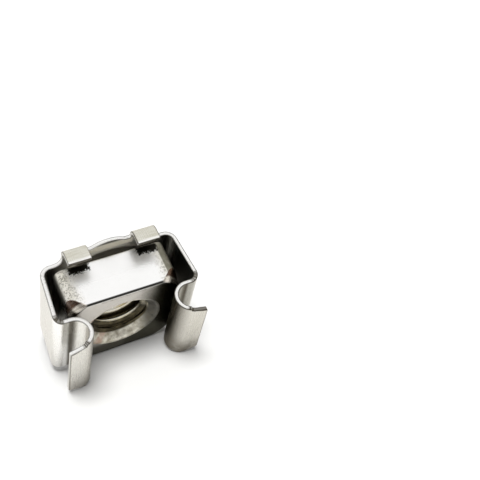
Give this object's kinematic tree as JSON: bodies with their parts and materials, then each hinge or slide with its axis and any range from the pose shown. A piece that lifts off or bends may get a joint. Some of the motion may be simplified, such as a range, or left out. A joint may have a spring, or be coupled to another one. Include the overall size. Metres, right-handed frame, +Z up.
{
  "type": "rack cage nut",
  "caption": "Square threaded nut held loosely in a folded spring-steel cage, whose curled ears snap into a square rack hole to hold a screw's thread there.",
  "frame": {"origin": "centre of the bounding box at its bottom, on the surface that the cage lies on", "axes": "+Z up, +X across the cage from one side wall to the other, the ears toward -Y and the panel toward +Y"},
  "size_m": [0.0148, 0.0126, 0.0143],
  "materials": {
    "cage_steel": "satin rolled spring steel, bright at its cut edges",
    "nut_steel": "bright, smooth, slightly pitted at its corners"
  },
  "bodies": {
    "cage": {"spring_cage": "cage_steel"},
    "nut": {"square_nut": "nut_steel"}
  },
  "joints": [
    {"name": "nut_float", "type": "slide", "parent": "cage", "child": "nut", "axis": [1, 0, 0], "range_m": [-0.00055, 0.00095]}
  ]
}
